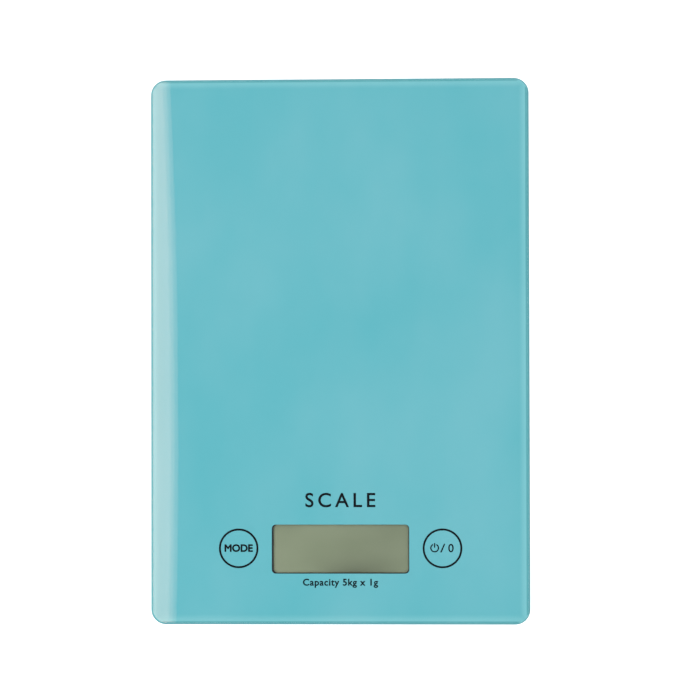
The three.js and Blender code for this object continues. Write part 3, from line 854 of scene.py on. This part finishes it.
def screw(head, head_height, shank, length, pitch):
    """A self-tapping screw standing on its pan head, with a spiral thread and a cross recess."""
    around, per_turn = 32, 6
    core = 0.75  # the shank's radius at the root of the thread, as a share of the crest's
    turns = [2 * pi * i / around for i in range(around)]
    side = [(0, 0), (head * 0.62, 0), (head, head_height * 0.55), (head, head_height)]
    head_side = softened([*side, (shank * core, head_height)], head_height * 0.35)
    sections = [([(r * cos(t), r * sin(t)) for t in turns], z) for r, z in head_side[1:]]
    tip = length * 0.82
    for level in range(1, int(length / pitch * per_turn)):
        z = level * pitch / per_turn
        taper = 1 if z < tip else 1 - 0.75 * (z - tip) / (length - tip)
        ring = []
        for i, t in enumerate(turns):
            crest = 1 - abs(2 * ((z / pitch - i / around) % 1) - 1)
            r = taper * shank * (core + (1 - core) * max(0, 2 * crest - 1))
            ring.append((r * cos(t), r * sin(t)))
        sections.append((ring, head_height + z))
    wing = [head * 1.15, head * 0.24]
    cross = join(*[plate(*sides, 0.1, -1, head_height * 0.55, steps=2) for sides in (wing, wing[::-1])])
    return cut(loft(sections), cross)


def add_screws():
    kinds = [
        ("case_screw_", CASE_SCREWS, screw(2.6, 1.5, 1.1, 6, 0.9)),
        ("board_screw_", list(CORNERS), screw(1.9, 1.05, 0.8, 5, 0.7)),
    ]
    for prefix, spots, made in kinds:
        for k, spot in enumerate(spots):
            box = Box(prefix + spot)
            copy = new_object(spot, made.data.copy())
            moved(copy, at(box.x, box.y, box.low.z) @ Matrix.Rotation(0.7 * k, 4, "Z"))
            place(copy, prefix + spot + "_threaded", BRIGHT_STEEL, prefix + spot)
        bpy.data.objects.remove(made)


def add_feet():
    for corner, (sx, sy) in CORNERS.items():
        x, y = sx * FOOT.x, sy * FOOT.y
        radius, flange, boss = 7.5, 9.2, 3.6
        flange_low, flange_high, top = 4.05, 5.0, FOOT.high.z
        cup = [
            (0, 1.6), (6.4, 1.6), (6.4, 0.9), (radius, 0.9), (radius, flange_low), (flange, flange_low),
            (flange, flange_high), (boss, flange_high), (boss, top), (0, top),
        ]
        foot = "foot_" + corner
        turned = revolve(softened(cup, 0.3), x, y, 72)
        place(turned, "foot_shell_" + corner, WHITE, "foot_cup_" + corner, foot)
        under = [(0, 0)]
        for groove in (1.4, 2.8, 4.2):
            under += [(groove, 0), (groove, 0.3), (groove + 0.5, 0.3), (groove + 0.5, 0)]
        under += [(6.3, 0), (6.3, 1.55), (0, 1.55)]
        pad = revolve(softened(under, 0.18, 2), x, y, 72)
        place(pad, "rubber_pad_" + corner, RUBBER, "foot_pad_" + corner, foot)


# ---------------------------------------------------------------- load cells and their wires

FRONT_ROUTE = [
    (55, -76.4, 9.1), (55, -69.5, 9.1), (52.5, -62.5, 8.4), (46, -57, 7.5),
    (36, -56.5, 7.3), (30.5, -59, 7.4), (30, -62.6, 7.45),
]
REAR_ROUTE = [
    (55, 76.4, 9.1), (55, 69, 9.1), (53.5, 58, 6.6), (53, 45, 5.2), (53, 5, 5.2), (53, -35, 5.2),
    (50, -48, 5.6), (40, -53, 6.6), (28, -54.5, 7.2), (22.5, -58, 7.4), (22, -62.6, 7.45),
]


def twisted(route, steps, turns, reach, wire):
    """Three wires wound round one route."""
    path = catmull(route, steps)
    pairs = frames_along(path)
    wires = []
    for k in range(3):
        strand = []
        for i, (centre, (side, up)) in enumerate(zip(path, pairs)):
            turn = 2 * pi * (k / 3 + turns * i / steps)
            strand.append(centre + reach * (cos(turn) * side + sin(turn) * up))
        wires.append(painted(tube(strand, wire, 10), k))
    return group(*wires)


def strain_plate():
    """A stamped steel plate whose slots leave a tongue free in its middle."""
    size, low, high = LOAD_CELL.size, LOAD_CELL.low.z, LOAD_CELL.high.z
    blank = plate(size.x, size.y, 1.5, low, high, 0, 0, 0.12, 0.12, edge_steps=2)
    slots = [block(1.4, 18, low - 1, high + 1, s * 4.7, -0.5, 0.3) for s in (-1, 1)]
    slots.append(block(10.8, 1.4, low - 1, high + 1, 0, -8.8, 0.3))
    slots += [rod(0.8, low - 1, high + 1, s * 7.2, 5.5, steps=24) for s in (-1, 1)]
    return cut(blank, *slots)


def add_load_cells():
    for corner, (sx, sy) in CORNERS.items():
        turn = Matrix.Rotation(pi if sy > 0 else 0, 4, "Z")
        cell = moved(strain_plate(), at(sx * FOOT.x, sy * FOOT.y) @ turn)
        place(cell, "strain_plate_" + corner, CELL_STEEL, "load_cell_" + corner)
        gauge = "strain_gauge_" + corner
        potting = slab(Box(gauge), 1.8, 0.05, 1.0, steps=8, edge_steps=6)
        place(potting, "potted_gauge_" + corner, SILICONE, gauge)
        route = [(sx * x, y, z) for x, y, z in (FRONT_ROUTE if sy < 0 else REAR_ROUTE)]
        steps, turns = (70, 3) if sy < 0 else (220, 11)
        wires = twisted(route, steps, turns, 0.37, 0.3)
        jackets = [RED, BLACK, PALE]
        place(wires, "load_cell_wires_" + corner, jackets, "load_cell_cable_" + corner)


# ---------------------------------------------------------------- circuit board and display


def solder_joint(x, y, z, radius, side):
    """A small fillet of solder on the board's upper (side 1) or lower (side -1) face."""
    profile = [(0, -0.05), (radius, -0.05), (radius, 0.03), (radius * 0.55, 0.2), (0, 0.4)]
    fillet = revolve(softened(profile, 0.1, 2), steps=16)
    return moved(fillet, at(x, y, z) @ Matrix.Diagonal((1, 1, side, 1)))


def board_tracks(low):
    """Tracks on the board's lower face, from the chip to the cables, the keys and the display."""
    chip = Box("controller_chip")
    span = (low - 0.035, low + 0.1)
    tracks = []
    for k in range(12):
        start = chip.x - 4.4 + 0.8 * k
        reach = chip.y + 6 + 0.5 * k
        points = [(start, chip.y + 3), (start, reach), (start + 4 + 2.2 * k, reach + 0.5)]
        tracks.append(ribbon(points, 0.3, *span))
    for k in range(10):
        start = chip.x - 3.6 + 0.8 * k
        points = [(start, chip.y - 3), (start, chip.y - 6), (chip.x * 0.4 + 3.4 * (k - 4), chip.y - 9.5)]
        tracks.append(ribbon(points, 0.3, *span))
    for side in (-1, 1):
        points = [(chip.x + 4 * side, chip.y), (side * (KEY_X - 8), chip.y), (side * (KEY_X - 3), KEY_Y)]
        tracks.append(ribbon(points, 0.5, *span))
    return tracks


def add_board():
    low, high = BOARD.low.z, BOARD.high.z
    board = slab(BOARD, 1, 0.05, 0.05, steps=6, edge_steps=2)
    board = cut(board, *[rod(1.2, low - 1, high + 1, x, y, steps=32) for x, y in BOARD_SCREW_SPOTS])
    parts = [painted(track, 1) for track in board_tracks(low)]
    for x in (-30, -22, -10.9, 8, 22, 30):
        shifts = (-0.9, 0, 0.9) if abs(x) > 20 else (0,)
        parts += [painted(solder_joint(x + dx, JOINTS_Y, high, 0.42, 1), 2) for dx in shifts]
    for x in (6.4, 9.6):
        parts.append(painted(solder_joint(x, Box("crystal").y + 2, low, 0.5, -1), 2))
    for side in (-1, 1):
        pad = rod(3.7, high - 0.05, high + 0.05, side * KEY_X, KEY_Y, 0.02, 48)
        parts.append(painted(pad, 2))
    finishes = [BOARD_GREEN, TRACK_GREEN, SOLDER]
    place(group(board, *parts), "printed_circuit", finishes, "circuit_board")


def add_board_parts():
    chip = Box("controller_chip")
    dome = [(0, 0), (chip.size.x / 2, 0), (4.6, -0.45), (3.2, -0.85), (0, -1)]
    blob = revolve([(r, chip.high.z + z) for r, z in softened(dome, 0.6, 4)], chip.x, chip.y, 48)
    place(blob, "potted_chip", RESIN, "controller_chip")
    can = slab(Box("crystal"), 1, 0.25, 0.05, steps=8)
    place(can, "crystal_can", BRIGHT_STEEL, "crystal")

    capacitor = Box("filter_capacitor")
    x, y, low, high = capacitor.x, capacitor.y, capacitor.low.z, capacitor.high.z
    width, depth = capacitor.size.xy
    case = block(width - 0.5, depth - 0.3, low, high, x, y, 0.2)
    reach = width / 2 - 0.25
    ends = [painted(block(0.5, 1.8, low + 0.3, high, x + s * reach, y, 0.08), 1) for s in (-1, 1)]
    stripe = painted(block(0.5, depth - 0.26, low, low + 0.4, x - 0.9, y, 0.05), 2)
    finishes = [TANTALUM, SOLDER, RED]
    place(group(case, *ends, stripe), "moulded_capacitor", finishes, "filter_capacitor")


def add_touch_springs():
    wire, radius, turns, steps = 0.35, 3.2, 4.5, 180
    low, high = BOARD.high.z + wire + 0.06, FILM.low.z - wire - 0.05
    for side, name in ((-1, "left"), (1, "right")):
        path = []
        for i in range(steps + 1):
            t = i / steps
            rise = min(max((t * turns - 0.8) / (turns - 1.6), 0), 1)  # the end coils lie flat
            turn = 2 * pi * turns * t
            x, y = side * KEY_X + radius * cos(turn), KEY_Y + radius * sin(turn)
            path.append(Vector((x, y, low + (high - low) * rise)))
        name = "touch_spring_" + name
        place(tube(path, wire, 12), name + "_coil", SPRING_STEEL, name)


def add_display():
    layers = {
        "lcd_front_polarizer": ("front_polarizer", "display_glass", DISPLAY, 0.03),
        "lcd_upper_glass": ("upper_pane", "display_glass", PANE, 0.08),
        "lcd_lower_glass": ("lower_pane", "display_glass", PANE, 0.08),
        "lcd_reflector": ("rear_reflector", "display_reflector", REFLECTOR, 0.03),
    }
    for node_name, (name, slot, material, edge) in layers.items():
        layer = slab(Box(node_name), 0.4, edge, edge, steps=4, edge_steps=2)
        place(layer, name, material, node_name)

    connector = slab(Box("zebra_strip"), 0.2, 0.2, 0.2, steps=2, edge_steps=2)
    place(connector, "elastomer_connector", ZEBRA, "zebra_strip")

    holder = Box("lcd_holder")
    lower = Box("lcd_lower_glass")
    wall = slab(holder, 1, 0.1, 0.15, steps=8, edge_steps=2)
    inside = plate(62.6, 26.6, 0.6, holder.low.z - 1, holder.high.z + 1, 0, holder.y, steps=6)
    rear = Box("lcd_reflector").low.z
    ledges = [block(3, 20, rear - 0.8, rear - 0.1, s * 30.2, lower.y, 0.1) for s in (-1, 1)]
    place(join(cut(wall, inside), *ledges), "display_holder", WHITE, "lcd_holder")


# ---------------------------------------------------------------- coin cell, contacts and door


def add_coin_cell():
    low, high, radius = CELL.low.z, CELL.high.z, CELL.size.x / 2
    crimp, groove = high - 0.35, high - 0.6
    side = [
        (0, low), (radius, low), (radius, crimp), (radius - 0.75, crimp), (radius - 0.9, groove),
        (radius - 1.2, groove), (radius - 1.4, high), (0, high),
    ]
    can = revolve(softened(side, 0.22), 0, CELL.y, 72)
    arms = [plate(*arm, 0.3, low - 0.03, low + 0.2, 0, CELL.y, steps=3) for arm in ((5, 1), (1, 5))]
    place(group(can, join(*arms)), "lithium_cell", BRIGHT_STEEL, "coin_cell")


def add_contacts():
    top = CELL.high.z + 0.25
    arch = [(-6, top + 0.5), (-4, top + 0.35), (-2, top + 0.1), (0, top), (2, top + 0.1), (4, top + 0.35)]
    negative = [*arch, (6, top + 0.5), (7.7, top + 0.6), (8, top + 0.9), (8, 10.2)]
    positive = [(-10.9, 4.8), (-10.4, 5.7), (-10.4, 6.3), (-10.7, 7.2), (-11, 8), (-11, 10.2)]
    for name, path in (("negative", negative), ("positive", positive)):
        sheet = bevelled(strip(path, 0.3, 4, CELL.y), 0.05)
        node_name = "battery_contact_" + name
        place(sheet, "spring_contact_" + name, SPRING_STEEL, node_name)
    leads = (("negative", 8, BLACK, "black_jacket"), ("positive", -10.9, RED, "red_jacket"))
    for name, x, material, slot in leads:
        route = [(x, -40.7, 10), (x, -48.5, 10), (x, -55, 8.7), (x, -59.5, 7.5), (x, JOINTS_Y, 7.2)]
        wire = tube(catmull(route, 60), 0.48, 14)
        place(wire, "cell_lead_" + name, material, "battery_lead_" + name)


def add_door():
    low, thickness, front = COVER.low.z, 1.5, DOOR.low.y
    high = low + thickness
    reach = HINGE["y"] - front
    panel = plate(28, reach + 4, 0.6, low, high, 0, front + (reach + 4) / 2, 0.15, 0.15, 8, 3)
    panel = cut(panel, plate(30, 6, 0.1, low - 1, high + 1, 0, HINGE["y"] + 3, steps=2))
    barrel = along_hinge(rod(HINGE["radius"], -14, 14, edge=0.1))
    pin = along_hinge(rod(HINGE["pin"], -15.5, 15.5, edge=0.12, steps=24))
    grips = [block(9, 0.8, low - 0.3, low + 0.3, 0, front + 4.5 + 1.8 * i, 0.2) for i in range(3)]
    arrow_outline = [(-2, front + 13.4), (0, front + 11), (2, front + 13.4)]
    arrow = loft([(arrow_outline, low - 0.2), (arrow_outline, low + 0.3)])
    latch = block(8, 1, high - 0.2, high + 1.1, 0, front + 1.2, 0.12)
    hook = block(8, 0.6, high + 0.5, high + 1.1, 0, front + 0.5, 0.12)
    door = join(panel, barrel, pin, *grips, arrow, latch, hook)
    place(door, "hinged_door", WHITE, "battery_door", "door")


# ---------------------------------------------------------------- camera, light, floor


def add_stage():
    """A light table's white sheet: fully lit as seen from above, clear as seen from below.

    Lamps below it shine through, so the underside can be looked at too.
    """
    half = 1500
    corners = [(-half, -half, 0), (half, -half, 0), (half, half, 0), (-half, half, 0)]
    floor = solid(corners, [(0, 1, 2, 3)])
    floor.name = "floor"
    white = principled("studio_floor", (0.8, 0.8, 0.8), 0.8, Emission_Color=(1, 1, 1, 1))
    spread(white, noise(white, 2, 2), (0.79, 0.79, 0.79), (0.81, 0.81, 0.81), "Base Color")
    rays = node(white, "ShaderNodeLightPath")
    glow = math(white, "MULTIPLY", rays.outputs["Is Camera Ray"], 0.7)
    link(white, glow, shader_of(white).inputs["Emission Strength"])
    side = node(white, "ShaderNodeNewGeometry")
    clear_for(white, side.outputs["Backfacing"], rays.outputs["Is Shadow Ray"])
    floor.data.materials.append(white)


def area_light(name, spot, size, power, color=(1, 1, 1)):
    data = bpy.data.lights.new(name, "AREA")
    data.shape = "RECTANGLE"
    data.size, data.size_y = size
    data.energy = power
    data.color = color
    light = bpy.data.objects.new(name, data)
    bpy.context.scene.collection.objects.link(light)
    light.location = spot
    light.rotation_mode = "QUATERNION"
    light.rotation_quaternion = Vector(spot).to_track_quat("Z", "Y")
    return light


def add_world():
    """A soft box all round and above, dim at the horizon and round the camera's dark stand overhead."""
    world = bpy.data.worlds.new("studio")
    bpy.context.scene.world = world
    world.use_nodes = True
    spot = node(world, "ShaderNodeTexCoord")
    apart = node(world, "ShaderNodeSeparateXYZ")
    height = node(world, "ShaderNodeValToRGB")
    height.color_ramp.interpolation = "EASE"
    stops = height.color_ramp.elements
    stops[0].position, stops[1].position = 0.05, 0.6
    for stop, level in zip((*stops, stops.new(0.93), stops.new(0.975)), (0.55, 1.09, 1.09, 0.1)):
        stop.color = (level, level, level, 1)
    link(world, spot.outputs["Generated"], apart.inputs[0])
    link(world, apart.outputs["Z"], height.inputs["Fac"])
    rays = node(world, "ShaderNodeLightPath")
    seen = node(world, "ShaderNodeMix", data_type="RGBA")
    seen.inputs["B"].default_value = (0.93, 0.93, 0.93, 1)  # what the camera sees past the floor
    link(world, rays.outputs["Is Camera Ray"], seen.inputs["Factor"])
    link(world, height.outputs["Color"], seen.inputs["A"])
    link(world, seen.outputs["Result"], world.node_tree.nodes["Background"].inputs["Color"])


def add_lights():
    add_world()
    area_light("key_left", (-1.1, -0.5, 1.0), (0.9, 0.9), 9).visible_glossy = False
    area_light("fill_right", (1.2, 0.4, 0.7), (0.9, 0.9), 3).visible_glossy = False
    for side in (-1, 1):
        area_light("table_lamp", (0.7 * side, 0.3 * side, -0.9), (0.8, 0.8), 4).visible_glossy = False
    # Three tall warm cards beside the camera, which only show as a soft-edged band on the glass.
    for step in (-1, 0, 1):
        spot = (-0.270 + 0.0022 * step, -0.04, 1.0 + 0.004 * step)
        card = area_light("card_left", spot, (0.2, 1.52), 1.42, (1, 0.62, 0.46))
        card.data.shape = "ELLIPSE"
        card.rotation_quaternion = (1, 0, 0, 0)
        card.visible_diffuse = False
        card.visible_transmission = False


def add_camera():
    data = bpy.data.cameras.new("camera")
    data.lens = 155.6
    data.sensor_width = 36
    camera = bpy.data.objects.new("camera", data)
    bpy.context.scene.collection.objects.link(camera)
    camera.location = (0.0612, -0.0251, 1.212)
    camera.rotation_euler = (radians(1.219), radians(2.739), radians(-0.12))
    bpy.context.scene.camera = camera
    bpy.context.scene.view_settings.view_transform = "Standard"


add_platform()
add_legends()
add_upper_frame()
add_bottom_cover()
add_screws()
add_feet()
add_load_cells()
add_board()
add_board_parts()
add_touch_springs()
add_display()
add_coin_cell()
add_contacts()
add_door()
add_stage()
add_lights()
add_camera()
